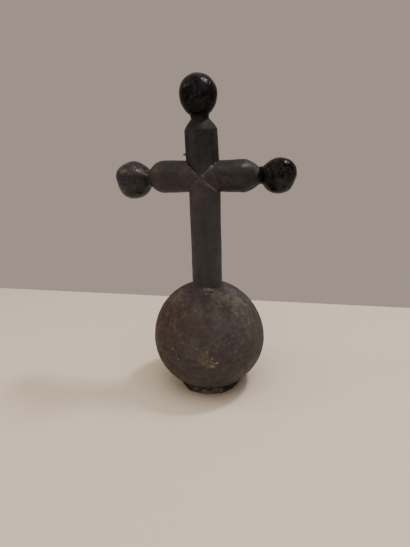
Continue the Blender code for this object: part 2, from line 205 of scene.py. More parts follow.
ARMS = {
    "upper": {
        "root": 0.0158,
        "ridge": 0.0155,
        "ridge_at": 0.0425,
        "neck": 0.0084,
        "neck_at": 0.0520,
        "stub": 0.0035,
        "bulge": 0.0005,
        "shift": -0.0009,
        "towards": radians(90),
        "tilt": radians(-1.6),
        "ball": 0.01735,
        "inner": 0.0219,
        "seat": 0.0091,
        "ball_shift": -0.0003,
        "ball_tilt": radians(-0.9),
    },
    "left": {
        "root": 0.0149,
        "ridge": 0.0156,
        "ridge_at": 0.0418,
        "neck": 0.0082,
        "neck_at": 0.0532,
        "stub": 0.0008,
        "bulge": 0.0014,
        "towards": radians(180),
        "tilt": radians(-0.8),
        "ball": 0.0182,
        "inner": 0.0182,
        "seat": 0.0078,
        "ball_shift": -0.0014,
        "ball_tilt": radians(-3.0),
    },
    "right": {
        "root": 0.0146,
        "ridge": 0.0155,
        "ridge_at": 0.0398,
        "neck": 0.0078,
        "neck_at": 0.0526,
        "stub": 0.0027,
        "bulge": 0.0009,
        "towards": 0.0,
        "tilt": radians(0.1),
        "ball": 0.0165,
        "inner": 0.0172,
        "seat": 0.0078,
        "ball_shift": -0.0006,
        "ball_tilt": radians(1.0),
    },
}


def sizes():
    """The sizes of the ball, the foot, the shaft and the solder."""
    return bpy.context.scene.cross_sizes


def tones():
    """The tones of the lead, the floor and the backdrop."""
    return bpy.context.scene.cross_colours


def arm_sizes(name):
    """One arm's sizes."""
    return getattr(bpy.context.scene, "cross_" + name)


# Edges turned more than this stay sharp
SHARP_FROM = radians(50)


def finish_piece(name, bm, material, replaced):
    """Makes a mesh object from a bmesh, and puts it in the frame in place of its solid."""
    mesh = bpy.data.meshes.new(name)
    bm.to_mesh(mesh)
    bm.free()
    mesh.materials.append(material)
    mesh.shade_smooth()
    mesh.set_sharp_from_angle(angle=SHARP_FROM)
    piece = bpy.data.objects.new(name, mesh)
    bpy.context.scene.collection.objects.link(piece)
    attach(piece, "root")
    if replaced:
        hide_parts(replaced)
    return piece


def spun(profile, steps):
    """A closed body from a profile of (radius, height), spun about +Z."""
    bm = bmesh.new()
    verts = [bm.verts.new((radius, 0.0, height)) for radius, height in profile]
    edges = [bm.edges.new(pair) for pair in zip(verts, verts[1:])]
    bmesh.ops.spin(
        bm,
        geom=verts + edges,
        cent=(0, 0, 0),
        axis=(0, 0, 1),
        dvec=(0, 0, 0),
        angle=FULL_TURN,
        steps=steps,
        use_merge=True,
        use_duplicate=False,
    )
    bmesh.ops.remove_doubles(bm, verts=bm.verts, dist=WELD)
    bmesh.ops.recalc_face_normals(bm, faces=bm.faces)
    return bm


def resampled(points, spacing):
    """The same outline with a point every `spacing` or closer, and its corners kept."""
    fine = [points[0]]
    for start, end in zip(points, points[1:]):
        steps = max(1, round(hypot(end[0] - start[0], end[1] - start[1]) / spacing))
        for step in range(1, steps + 1):
            share = step / steps
            fine.append((start[0] + (end[0] - start[0]) * share, start[1] + (end[1] - start[1]) * share))
    return fine


def softened(points, passes):
    """The same outline with its corners eased, its two ends kept."""
    for _ in range(passes):
        inner = [
            ((a[0] + 2 * b[0] + c[0]) / 4, (a[1] + 2 * b[1] + c[1]) / 4)
            for a, b, c in zip(points, points[1:], points[2:])
        ]
        points = [points[0], *inner, points[-1]]
    return points


def roughen(bm, layers, seed, keep=None):
    """Moves each point along its normal by layers of (grain size, depth), both in mm."""
    bm.normal_update()
    moves = []
    offset = Vector((seed, 2.3 * seed, 5.1 * seed))
    for vert in bm.verts:
        if keep and keep(vert.co):
            continue
        depth = sum(deep * noise.noise(vert.co / (grain * MM) + offset) for grain, deep in layers)
        moves.append((vert, vert.normal * depth * MM))
    for vert, move in moves:
        vert.co += move


def dress(bm, centre, knocks):
    """Raises or beats in a rounded form, by (direction from its centre, spread in degrees, mm outwards)."""
    for direction, spread, depth in knocks:
        along = Vector(direction).normalized()
        for vert in bm.verts:
            ray = vert.co - centre
            share = ray.angle(along) / radians(spread)
            if share < 1:
                vert.co += ray.normalized() * (1 - share * share) ** 2 * depth * MM


# How far a lump's edge is torn and how finely, as shares of its radius, and how flat its top is (1 is a cone)
LUMP_TEAR = 0.35
LUMP_TEAR_GRAIN = 0.4
LUMP_FLATNESS = 0.6


def raise_lump(bm, centre, reach, height, seed):
    """Raises a ragged, flat-topped lump round a point on the surface, its radius and height in mm."""
    for vert in bm.verts:
        distance = (vert.co - centre).length / (reach * MM)
        if distance < 1 + LUMP_TEAR:
            tear = noise.noise(vert.co / (LUMP_TEAR_GRAIN * reach * MM) + Vector((seed, 0, 0)))
            share = max(0.0, 1 - distance - LUMP_TEAR * tear) ** LUMP_FLATNESS
            vert.co += vert.normal * share * height * MM


def arc(start, end, steps):
    """Even steps from start to end, both kept."""
    return [start + (end - start) * step / steps for step in range(steps + 1)]


def bulged(start, end, bulge, steps):
    """Points of a shallow arc from start to end, both left out, that stands out by bulge."""
    run, rise = end[0] - start[0], end[1] - start[1]
    span = hypot(run, rise)
    across = (abs(rise) / span, run / span if rise < 0 else -run / span)
    points = []
    for step in range(1, steps):
        share = step / steps
        stand = 4 * bulge * share * (1 - share)
        along = (start[0] + run * share, start[1] + rise * share)
        points.append((along[0] + across[0] * stand, along[1] + across[1] * stand))
    return points


# Steps over an arm's shoulder, spacings of the points of an outline, and passes that ease its corners
SHOULDER_STEPS = 14
ARM_SPACING = 0.55 * MM
ARM_EASING = 3
FINIAL_SPACING = 0.45 * MM
FINIAL_EASING = 9
SHAFT_SPACING = 0.7 * MM


def arm_profile(arm):
    """Outer end first: neck stub, drawn-in shoulder, ridge, and the plain run to the crossing."""
    neck, ridge = (arm.neck, arm.neck_at), (arm.ridge, arm.ridge_at)
    outline = [
        (arm.neck, arm.neck_at + arm.stub),
        neck,
        *bulged(neck, ridge, arm.bulge, SHOULDER_STEPS),
        ridge,
        ((arm.root + 2 * arm.ridge) / 3, 0.7 * arm.ridge_at),
        (arm.root, 0.35 * arm.ridge_at),
        (arm.root, -RUN_PAST),
    ]
    eased = softened(resampled(outline, ARM_SPACING), ARM_EASING)
    return [(0.0, eased[0][1]), *eased, (0.0, -RUN_PAST)]


# Dressed flats and bulges, as (direction from the middle, spread in degrees, mm outwards)
BALL_KNOCKS = (
    ((0.35, -0.05, 0.93), 26, -1.9),
    ((0.78, -0.05, 0.63), 28, 0.6),
    ((-0.80, -0.20, -0.56), 30, -0.8),
    ((0.80, -0.20, -0.56), 28, -0.6),
    ((0.20, -0.95, 0.10), 40, 0.5),
)
FINIAL_KNOCKS = {
    "upper": (
        ((0.50, -0.20, 0.85), 50, -1.0),
        ((0.95, -0.10, -0.30), 50, 0.7),
        ((-0.40, -0.20, 0.90), 40, -0.3),
        ((-0.90, -0.30, -0.40), 40, 0.2),
    ),
    "left": (
        ((0.67, -0.10, 0.74), 46, -3.0),
        ((0.88, -0.10, 0.42), 30, -1.8),
        ((-0.88, -0.20, 0.44), 42, 1.3),
        ((-0.97, -0.10, -0.24), 34, -1.4),
        ((-0.45, -0.20, -0.87), 44, 0.8),
        ((0.30, -0.80, -0.50), 40, -0.6),
    ),
    "right": (
        ((-0.62, -0.10, 0.78), 40, -1.0),
        ((0.75, -0.20, 0.64), 45, 0.8),
        ((0.92, -0.10, -0.40), 34, -0.9),
        ((-0.25, -0.20, -0.95), 44, 0.7),
    ),
}


# Gap between a finial's seat and its neck, which the finial's skirt covers
SEAT_GAP = 0.3 * MM


def ball_middle(arm):
    """Distance from a finial's seat to the middle of its ball."""
    return arm.inner * sqrt(1 - (arm.seat / arm.ball) ** 2)


def finial_profile(arm):
    """A ball drawn out on its inner side, which runs in a hollow curve on to the neck."""
    centre = ball_middle(arm)
    outer = [(arm.ball * sin(t), centre + arm.ball * cos(t)) for t in arc(0.0, pi / 2, 44)]
    near = [(arm.ball * cos(t), centre - arm.inner * sin(t)) for t in arc(0.0, asin(centre / arm.inner), 40)]
    skirt = [(arm.neck + 0.25 * MM, -0.6 * MM), (arm.neck + 0.1 * MM, -1.0 * MM - 0.7 * arm.stub)]
    eased = softened(resampled([*outer[1:], *near[1:], *skirt], FINIAL_SPACING), FINIAL_EASING)
    return [(0.0, centre + arm.ball), *eased, (0.0, skirt[-1][1])]


def arm_matrix(arm):
    """Puts an arm's own +Z along its direction, from the middle of the crossing."""
    place = Matrix.Translation((0, 0, sizes().crossing)) @ Matrix.Translation((arm.shift, 0, 0))
    return place @ Matrix.Rotation(pi / 2 - arm.towards + arm.tilt, 4, "Y")


def finial_matrix(arm):
    """Puts a finial's seat on its arm's neck, clear of it where the finial tilts."""
    seat = (arm.ball_shift, 0, arm.neck_at + arm.stub + SEAT_GAP + arm.seat * sin(abs(arm.ball_tilt)))
    return arm_matrix(arm) @ Matrix.Translation(seat) @ Matrix.Rotation(arm.ball_tilt, 4, "Y")


def across_at(height, reach):
    """Middle and half-width, at a height above the crossing, of the upright member there."""
    if height > 0:
        upper = arm_sizes("upper")
        return upper.shift + height * tan(upper.tilt), upper.root + reach
    return 0.0, sizes().shaft_radius + reach


def height_at(across, reach):
    """Middle and half-height, at a distance across the crossing, of the side arm there."""
    arm = arm_sizes("right" if across > 0 else "left")
    return -across * tan(arm.tilt), arm.root + reach


def inner_corner(side, level, reach=0.0):
    """Where the outlines of two neighbouring members meet, as (x, z) from the crossing's middle."""
    middle, half_height = height_at(side * sizes().shaft_radius, reach)
    height = middle + level * half_height
    middle, half_width = across_at(height, reach)
    return Vector((middle + side * half_width, height))


def mitre_apex():
    """Where the four mitres meet, as (x, z) from the crossing's middle."""
    return Vector((sizes().mitre_x, sizes().mitre_z))


def cut_mitres(bm, corners):
    """Cuts a member along its two mitres, each through the meeting point and one inner corner."""
    apex = mitre_apex()
    for corner, other in (corners, reversed(corners)):
        edge = corner - apex
        outwards = Vector((edge.y, 0.0, -edge.x))
        if outwards.dot(Vector((other.x - apex.x, 0.0, other.y - apex.y))) > 0:
            outwards.negate()
        cut = bmesh.ops.bisect_plane(
            bm,
            geom=bm.verts[:] + bm.edges[:] + bm.faces[:],
            dist=WELD,
            plane_co=(apex.x, 0.0, sizes().crossing + apex.y),
            plane_no=outwards,
            clear_outer=True,
        )
        rim = [item for item in cut["geom_cut"] if isinstance(item, bmesh.types.BMEdge)]
        bmesh.ops.edgeloop_fill(bm, edges=rim)


def seam_path(side, level, steps):
    """Points of a half mitre on the front, from the middle of the crossing out to one inner corner."""
    sunk = -sizes().bead_sunk
    corner = inner_corner(side, level, sunk)
    points = []
    for turn in arc(0.0, pi / 2, steps):
        x, z = mitre_apex().lerp(corner, sin(turn))
        middle, half_width = across_at(level * abs(z), sunk)
        upright = half_width**2 - (x - middle) ** 2
        middle, half_height = height_at(side * abs(x), sunk)
        lying = half_height**2 - (z - middle) ** 2
        points.append(Vector((x, -sqrt(max(upright, lying, 0.0)), sizes().crossing + z)))
    return points


def swept(path, radii, segments):
    """A closed tube that runs through a closed path, with its own radius at each point."""
    bm = bmesh.new()
    count = len(path)
    frames = []
    for index, point in enumerate(path):
        along = (path[(index + 1) % count] - path[index - 1]).normalized()
        out = Vector((point.x, point.y, point.z - sizes().crossing)).normalized()
        side = along.cross(out).normalized()
        turned = Matrix((side, side.cross(along), along)).transposed().to_4x4()
        frames.append(Matrix.Translation(point) @ turned @ Matrix.Scale(radii[index], 4))
    ring = bmesh.ops.create_circle(bm, segments=segments, radius=1.0, matrix=frames[0])["verts"]
    first = current = list({edge for vert in ring for edge in vert.link_edges})
    for index in range(1, count):
        pulled = bmesh.ops.extrude_edge_only(bm, edges=current)["geom"]
        verts = [item for item in pulled if isinstance(item, bmesh.types.BMVert)]
        current = [item for item in pulled if isinstance(item, bmesh.types.BMEdge)]
        bmesh.ops.transform(bm, matrix=frames[index] @ frames[index - 1].inverted(), verts=verts)
    bmesh.ops.bridge_loops(bm, edges=first + current)
    bmesh.ops.recalc_face_normals(bm, faces=bm.faces)
    return bm


def ball_point(direction):
    """A point of the large ball's surface in a direction from its centre."""
    size = sizes()
    direction = Vector(direction).normalized()
    lift = direction.z * (size.ball_rise if direction.z > 0 else size.ball_drop)
    return Vector(
        (
            direction.x * size.ball_radius - size.ball_lean * lift,
            direction.y * size.ball_radius,
            size.ball_centre + lift,
        )
    )


def ball_height(radius):
    """Height of the ball's upper surface at a distance from its axis."""
    size = sizes()
    return size.ball_centre + size.ball_rise * sqrt(1 - (radius / size.ball_radius) ** 2)


def lip_radius(degrees):
    """Radius of the foot's lip: nearly straight flats between blunt corners."""
    corners = [*LIP_CORNERS, (LIP_CORNERS[0][0] + 360, LIP_CORNERS[0][1])]
    turned_on = (degrees - corners[0][0]) % 360 + corners[0][0]
    for (start, near), (end, far) in zip(corners, corners[1:]):
        if start <= turned_on <= end:
            break
    near_side, far_side = radians(turned_on - start), radians(end - turned_on)
    flat = near * far * sin(near_side + far_side) / (near * sin(near_side) + far * sin(far_side))
    blunt = near + (far - near) * near_side / (near_side + far_side)
    return (LIP_FLATNESS * flat + (1 - LIP_FLATNESS) * blunt) * MM


def add(tree, kind, inputs=None, **settings):
    """Adds one node with its settings: a socket among its inputs is linked, and anything else is a value."""
    made = tree.nodes.new(kind)
    for name, value in settings.items():
        setattr(made, name, value)
    for key, value in (inputs or {}).items():
        socket = made.inputs[key]
        if isinstance(value, bpy.types.NodeSocket):
            tree.links.new(value, socket)
        else:
            socket.default_value = value
    return made


def rgba(tone):
    """A tone as a socket's value."""
    return (*tone, 1.0)


# A cell of the noise holds two blotches, a pale and a dark one
CELLS_PER_BLOTCH = 0.5

# How strongly the fine grain bends the light, and the width in mm of the duller and glossier blotches
GRAIN_STRENGTH = 0.6
GLOSS_BLOTCH = 3.5


class Patina:
    """Builds one procedural material for weathered lead, a layer at a time."""

    def __init__(self, name, body, metallic, gloss, specular):
        self.material = bpy.data.materials.new(name)
        self.material.use_nodes = True
        self.tree = self.material.node_tree
        self.shader = self.tree.nodes["Principled BSDF"]
        self.shader.inputs["Metallic"].default_value = metallic
        self.shader.inputs["Specular IOR Level"].default_value = specular
        self.coords = add(self.tree, "ShaderNodeTexCoord").outputs["Object"]
        self.tone = rgba(body)
        self.gloss = gloss
        self.wobbles = {}

    def cloud(self, grain, low, high, shift=0.0, detail=3.0):
        """A noise mask with blotches `grain` mm across, or streaks if it has three lengths.

        It is 0 up to the noise's level `low` and 1 from `high` on, and `shift` moves it elsewhere.
        """
        grains = grain if isinstance(grain, tuple) else (grain, grain, grain)
        place = (shift, 0.7 * shift, 0)
        scale = [CELLS_PER_BLOTCH / (size * MM) for size in grains]
        moved = add(
            self.tree, "ShaderNodeMapping", {"Vector": self.coords, "Location": place, "Scale": scale}
        )
        pattern = add(
            self.tree, "ShaderNodeTexNoise", {"Vector": moved.outputs[0], "Scale": 1.0, "Detail": detail}
        )
        spread = add(
            self.tree,
            "ShaderNodeMapRange",
            {"Value": pattern.outputs[0], "From Min": low, "From Max": high},
            interpolation_type="SMOOTHSTEP",
        )
        return spread.outputs[0]

    def spot(self, centre, reach, ragged, grain, core):
        """A mask from 0 to 1 round a point on the piece, in mm, with a ragged edge and `core` of it full."""
        if grain not in self.wobbles:
            self.wobbles[grain] = self.cloud(grain, 0.3, 0.7)
        distance = add(
            self.tree, "ShaderNodeVectorMath", {0: self.coords, 1: Vector(centre) * MM}, operation="DISTANCE"
        )
        share = add(
            self.tree, "ShaderNodeMath", {0: distance.outputs["Value"], 1: reach * MM}, operation="DIVIDE"
        )
        torn = add(
            self.tree,
            "ShaderNodeMath",
            {0: self.wobbles[grain], 1: ragged, 2: share.outputs[0]},
            operation="MULTIPLY_ADD",
        )
        spread = add(
            self.tree,
            "ShaderNodeMapRange",
            {"Value": torn.outputs[0], "From Min": 1.0 + ragged / 2, "From Max": core + ragged / 2},
            interpolation_type="SMOOTHSTEP",
        )
        return spread.outputs[0]

    def layer(self, tone, strength, *masks):
        """Lays a tone over what is there, where every mask is white."""
        share = strength
        for mask in masks:
            share = add(self.tree, "ShaderNodeMath", {0: share, 1: mask}, operation="MULTIPLY").outputs[0]
        mixed = add(
            self.tree, "ShaderNodeMix", {"Factor": share, "A": self.tone, "B": rgba(tone)}, data_type="RGBA"
        )
        self.tone = mixed.outputs[2]

    def patches(self, table):
        """Lays patches given as (tone, strength, place, reach, raggedness, grain, share that is full)."""
        for name, strength, *shape in table:
            self.layer(getattr(tones(), name), strength, self.spot(*shape))

    def done(self, grain_size, grain_depth):
        """Sets the colour, a roughness that varies, and a fine grain with its size and depth in mm."""
        self.tree.links.new(self.tone, self.shader.inputs["Base Color"])
        low, high = self.gloss
        blotches = self.cloud(GLOSS_BLOTCH, 0.3, 0.7, shift=0.3, detail=5.0)
        rough = add(self.tree, "ShaderNodeMapRange", {"Value": blotches, "To Min": low, "To Max": high})
        self.tree.links.new(rough.outputs[0], self.shader.inputs["Roughness"])
        grain = self.cloud(grain_size, 0.2, 0.8, shift=0.9, detail=6.0)
        bump = add(
            self.tree,
            "ShaderNodeBump",
            {"Strength": GRAIN_STRENGTH, "Distance": grain_depth * MM, "Height": grain},
        )
        self.tree.links.new(bump.outputs[0], self.shader.inputs["Normal"])
        return self.material


# Patches of stain, with painted light and shade among them, as (tone, strength, place, reach, raggedness,
# grain, share that is full), in mm
BALL_STAINS_AND_BOUNCE_LIGHT = (
    ("ball_brown", 0.9, (-44, -34, 84), 62, 0.6, 16, 0.1),
    ("ball_grey", 0.8, (34, -44, 62), 50, 0.6, 16, 0.1),
    ("tint", 0.5, (-14, -55, 70), 14, 0.8, 4, 0.1),
    ("tint", 0.5, (-27, -50, 60), 11, 0.9, 4, 0.1),
    ("tint", 0.5, (26, 0, 107), 22, 0.8, 6, 0.1),
    ("tint", 0.3, (22, -40, 90), 14, 0.9, 4, 0.1),
    ("ball_green", 0.3, (46, -28, 76), 20, 1.2, 2, 0.0),
    ("ball_green", 0.25, (0, -58, 66), 16, 1.2, 3, 0.0),
    ("ball_green", 0.3, (-26, -23, 103), 14, 0.9, 6, 0.1),
    ("ball_green", 0.75, (19, -20, 106), 13, 1.1, 2, 0.0),
    ("ball_green", 0.55, (32, -20, 99), 17, 1.2, 3, 0.0),
    ("crust", 0.3, (-28, -16, 103), 20, 1.0, 6, 0.0),
    ("crust", 0.25, (12, -38, 100), 16, 1.2, 4, 0.0),
    ("pale", 0.2, (34, -10, 103), 20, 1.0, 4, 0.0),
    ("ball_deep", 0.8, (1, -28, 107), 11, 0.9, 3, 0.1),
    ("ball_deep", 0.3, (8, -42, 96), 10, 0.9, 6, 0.1),
    ("ball_deep", 0.85, (-28, -48, 38), 20, 0.9, 4, 0.1),
    ("ball_deep", 0.5, (-24, -50, 52), 14, 0.9, 4, 0.1),
    # Painted bounce light: a paler rim low on the ball's right
    ("pale", 0.22, (46, -28, 34), 20, 1.2, 3, 0.0),
    ("ball_deep", 0.45, (40, -40, 62), 24, 0.9, 6, 0.1),
    ("ball_brown", 0.8, (34, 44, 84), 42, 0.8, 10, 0.1),
    ("ball_green", 0.5, (-24, 44, 86), 22, 0.9, 4, 0.1),
    ("ball_green", 0.4, (50, 20, 60), 18, 0.9, 4, 0.1),
    ("tint", 0.4, (-44, 34, 50), 24, 0.9, 6, 0.1),
    ("ball_deep", 0.6, (6, 54, 40), 24, 0.9, 6, 0.1),
)
BALL_CRUST = (
    ("ball_green", 0.25, (-8.2, -57.8, 60.1), 5.5, 1.0, 2, 0.1),
    ("ball_green", 0.25, (-19.1, -55.1, 46.4), 6.0, 0.8, 2, 0.2),
    ("ball_deep", 0.5, (-16, -56, 57), 6.0, 0.8, 2, 0.2),
    ("ball_deep", 0.5, (-8, -57, 47), 7.0, 0.8, 2, 0.2),
    ("crust", 0.4, (6.5, -58.4, 53.0), 6.0, 0.9, 1, 0.2),
    ("crust", 0.4, (7.6, -57.9, 60.2), 7.0, 0.9, 1, 0.2),
    ("crust", 0.55, (13.5, -57.0, 52.0), 8.0, 0.9, 1, 0.2),
    ("ball_deep", 0.6, (12.5, -57.4, 52.8), 2.6, 0.8, 1, 0.2),
    ("ball_brown", 0.6, (15.1, -56.2, 61.4), 3.6, 0.8, 2, 0.2),
    ("ball_deep", 0.4, (4.3, -58.3, 47.0), 5.0, 0.9, 2, 0.2),
    ("pale", 0.8, (19.4, -55.4, 52.2), 2.4, 0.7, 1, 0.2),
    ("pale", 0.5, (19.0, -55.4, 54.6), 1.5, 0.7, 1, 0.2),
    ("pale", 0.5, (15.3, -56.5, 48.4), 2.8, 0.9, 1, 0.2),
    ("pale", 0.5, (10.5, -56.8, 64.6), 1.5, 0.9, 1, 0.2),
    ("pale", 0.4, (12.3, -56.9, 61.0), 1.4, 0.9, 1, 0.2),
    ("pale", 0.4, (15.2, -56.5, 57.4), 1.6, 0.9, 1, 0.2),
)
ARM_STAINS_AND_PAINTED_LIGHT = {
    "upper": (
        ("finial_body", 0.7, (0, -8, 277), 9, 0.8, 2, 0.2),
        ("finial_body", 0.45, (0, -15, 268), 8, 1.0, 2, 0.0),
        ("tint", 0.3, (2, -13, 269), 6, 1.0, 2, 0.0),
        ("cool", 0.6, (2, -16, 242), 8, 0.7, 3, 0.1),
        ("cool", 0.6, (3, -16, 252), 8, 0.7, 3, 0.1),
        ("cool", 0.6, (4, -16, 261), 7, 0.7, 3, 0.1),
        ("finial_body", 0.5, (11, -11, 246), 4.5, 0.7, 3, 0.1),
        ("finial_body", 0.6, (11, -11, 254), 4.5, 0.7, 3, 0.1),
        ("finial_body", 0.6, (11, -11, 261), 4, 0.7, 3, 0.1),
        ("finial_body", 0.4, (-13, -9, 256), 4.5, 0.7, 3, 0.1),
        ("solder_body", 0.22, (-7, -14, 248), 8, 0.9, 3, 0.0),
        ("solder_body", 0.22, (-7, -14, 260), 8, 0.9, 3, 0.0),
        # Painted shade: a line of near-black in the crease beside the left mitre, under the upper arm's edge
        ("finial_body", 0.5, (-14, -11, 236), 3.2, 0.5, 3, 0.3),
        ("finial_body", 0.6, (-11, -12, 233.5), 3.2, 0.5, 3, 0.3),
        ("finial_body", 0.6, (-8, -14, 231), 3.2, 0.5, 3, 0.3),
        ("finial_body", 0.5, (-6, -15, 228.5), 3.2, 0.5, 3, 0.3),
    ),
    "left": (
        ("ball_green", 0.16, (-46, -10, 225), 18, 0.9, 3, 0.1),
        ("tint", 0.3, (-18, -14, 224), 13, 0.9, 3, 0.1),
        ("finial_body", 0.1, (-31, -14, 224), 6, 0.9, 3, 0.1),
    ),
    "right": (
        ("tint", 0.4, (12, -14, 214), 13, 0.9, 3, 0.1),
        ("cool", 0.2, (38, -15, 222), 12, 0.9, 3, 0.0),
        ("ball_green", 0.35, (17, -11, 235), 5, 0.9, 2, 0.0),
        ("ball_green", 0.08, (30, -14, 226), 16, 0.9, 3, 0.1),
        # Painted highlight: a pale spot on the right arm's ridge
        ("pale", 0.3, (40.3, -11, 233), 3.4, 0.8, 2, 0.1),
        ("ball_green", 0.4, (53, -7, 229), 6, 0.8, 2, 0.1),
    ),
}
FINIAL_STAINS_AND_PAINTED_LIGHT = {
    "top": (
        # Top finial: the cool patches are a painted cool reflection in front and painted light on top, the
        # grey bloom at the upper left is a painted highlight, and the two pale specks are its own
        ("cool", 0.6, (2, -17, 299), 12, 0.9, 3, 0.1),
        ("cool", 0.6, (-3, -8, 310), 9, 1.2, 2, 0.0),
        ("finial_bloom_and_highlight", 0.5, (-12, -11, 307), 9, 0.8, 3, 0.1),
        ("pale", 0.25, (-1.7, -18, 294.8), 1.5, 0.8, 1, 0.2),
        ("pale", 0.25, (-14, -10, 294), 1.6, 0.8, 1, 0.2),
    ),
    "right": (
        # Right finial: the cool patch is a painted cool reflection, and the grey bloom is partly a painted
        # highlight at the upper right; the rust and fine grey speckle are its own
        ("cool", 0.9, (73, -15, 219), 10, 0.9, 3, 0.1),
        ("rust", 0.9, (66, -12, 222), 7, 0.9, 3, 0.1),
        ("ball_grey", 0.4, (79, -13, 221), 12, 1.4, 1, 0.0),
        ("finial_bloom_and_highlight", 0.9, (80, -14, 222), 9, 0.9, 2, 0.1),
        ("finial_bloom_and_highlight", 0.9, (70, -12, 233), 9, 1.1, 2, 0.0),
    ),
}
SHAFT_STAINS = (
    ("tint", 0.5, (-8, -13, 207), 16, 0.6, 5, 0.2),
    ("cool", 0.35, (10, -12, 205), 13, 0.7, 4, 0.1),
)
SOLDER_STAINS = (
    ("pale", 0.3, (13, -13, 235), 10, 0.7, 2, 0.1),
    ("pale", 0.4, (16.8, -4, 209), 5, 0.7, 2, 0.2),
    ("pale", 0.2, (8, -15, 214), 11, 0.9, 2, 0.0),
    ("tint", 0.7, (-10, -14, 232), 13, 0.7, 2, 0.2),
    ("tint", 0.7, (-10, -14, 214), 11, 0.7, 2, 0.2),
    ("tint", 0.8, (-3, -17, 112), 8, 0.7, 2, 0.2),
)
# Painted shade: near-black at the foot's left and right ends
FOOT_END_SHADE = (
    ("finial_body", 0.9, (-27, -20, 4), 14, 0.8, 3, 0.2),
    ("finial_body", 0.7, (33, -8, 4), 12, 0.8, 3, 0.2),
)
LEFT_FINIAL_STAINS_AND_PAINTED_LIGHT = (
    # Left finial: the cool patch is a painted cool reflection, the purplish tint at the upper right a painted
    # highlight, and the crust by the neck partly a painted highlight
    ("arm_body", 0.5, (-70, -15, 228), 17, 0.6, 4, 0.2),
    ("cool", 0.9, (-71, -18, 219), 11, 0.8, 3, 0.1),
    ("crust", 0.5, (-83, -8, 230), 5, 0.8, 2, 0.2),
    ("crust", 0.6, (-59, -8, 228), 7, 0.8, 2, 0.2),
    ("tint", 0.6, (-68, -14, 233), 8, 0.8, 3, 0.1),
)

# Lumps of crust on the front of the ball, as (place, radius, height, seed), in mm
CRUST_LUMPS = (
    ((9, -57, 58), 11, 0.35, 2.0),
    ((18.5, -55, 51.5), 3.6, 0.5, 4.0),
)

# Pale specks on the front of the ball, as (place, radius), in mm, and how far they stand out
SPECK_HEIGHT = 0.25
BALL_SPECKS = (
    ((-13.2, -41.1, 94.1), 1.2),
    ((-3.9, -39.2, 98.1), 1.0),
    ((0.5, -57.2, 67.0), 1.5),
    ((-24.7, -52.7, 62.3), 1.3),
    ((-19.3, -55.5, 52.7), 1.6),
    ((-14.3, -54.5, 70.7), 1.1),
    ((45.5, -24.3, 81.5), 0.9),
    ((39.1, -43.1, 56.0), 1.0),
)


def ball_patina():
    # Cast lead, dull all over: brown haze on the left, cool grey on the right, greenish mottle, pale crust,
    # and a painted paler rim of bounce light low on the right
    tone = tones()
    coat = Patina("Weathered cast lead, ball", tone.ball_body, 0.0, (0.62, 0.85), 0.3)
    coat.layer(tone.ball_deep, 0.45, coat.cloud(26, 0.38, 0.64))
    coat.patches(BALL_STAINS_AND_BOUNCE_LIGHT)
    coat.layer(tone.ball_deep, 0.45, coat.cloud(6, 0.46, 0.68, shift=1.7))
    mottle = coat.cloud(2.8, 0.48, 0.68, shift=3.1, detail=2.0)
    coat.layer(tone.ball_green, 0.5, mottle, coat.cloud(24, 0.35, 0.6, shift=4.4))
    coat.layer(tone.ball_deep, 0.55, coat.cloud(2.2, 0.48, 0.66, shift=5.3, detail=2.0))
    coat.patches(BALL_CRUST)
    for place, reach in BALL_SPECKS:
        coat.layer(tone.pale, 0.55, coat.spot(place, reach, 0.5, 1, 0.3))
    coat.layer(tone.pale, 0.12, coat.cloud(2.0, 0.6, 0.74, shift=6.1, detail=2.0))
    return coat.done(1.4, 0.35)


def shaft_patina():
    # Rolled lead sheet, satin: brown-black, faintly streaked upwards, its head purplish left and cool right
    tone = tones()
    coat = Patina("Rolled lead, shaft", tone.shaft_body, 0.1, (0.5, 0.72), 0.3)
    coat.layer(tone.arm_body, 0.5, coat.cloud(18, 0.4, 0.64))
    coat.layer(tone.upper_body, 0.25, coat.cloud((5.0, 5.0, 60.0), 0.45, 0.65))
    coat.layer(tone.tint, 0.3, coat.cloud((2.2, 2.2, 30.0), 0.5, 0.7, shift=3.0))
    coat.patches(SHAFT_STAINS)
    return coat.done(1.0, 0.12)


def arm_patina(name, body, gloss, seed, along):
    # Rolled lead rubbed by hands: satin, streaked along and purplish at the joints, with painted shade in the
    # crease by the upper arm's mitre and a painted highlight on the right arm's ridge
    tone = tones()
    coat = Patina("Rubbed rolled lead, " + name + " arm", body, 0.1, gloss, 0.22)
    coat.layer(tone.upper_body, 0.35, coat.cloud(13, 0.42, 0.64, shift=seed))
    coat.layer(tone.solder_body, 0.2, coat.cloud(along, 0.46, 0.7, shift=seed))
    coat.layer(tone.tint, 0.4, coat.spot((0, -14, 222), 24, 0.7, 5, 0.1))
    coat.layer(tone.ball_green, 0.14, coat.cloud(2.2, 0.5, 0.7, shift=seed + 2, detail=5.0))
    coat.patches(ARM_STAINS_AND_PAINTED_LIGHT[name])
    return coat.done(1.0, 0.15)


def finial_patina(name, seed):
    # Cast lead gone black: a small hard highlight on a half-gloss skin, speckled grey, brown at the rims,
    # with a painted cool reflection in front and painted grey highlights high on the ball
    tone = tones()
    coat = Patina("Blackened cast lead, " + name + " finial", tone.finial_body, 0.0, (0.14, 0.3), 0.1)
    coat.layer(tone.rust, 0.35, coat.cloud(7, 0.42, 0.66, shift=seed, detail=5.0))
    coat.patches(FINIAL_STAINS_AND_PAINTED_LIGHT[name])
    coat.layer(tone.finial_body, 0.7, coat.cloud(1.8, 0.45, 0.62, shift=seed + 2))
    coat.layer(tone.finial_bloom_and_highlight, 0.4, coat.cloud(1.2, 0.54, 0.7, shift=seed + 3))
    coat.layer(tone.solder_body, 0.3, coat.cloud(1.0, 0.64, 0.74, shift=seed + 5, detail=2.0))
    return coat.done(1.6, 0.4)


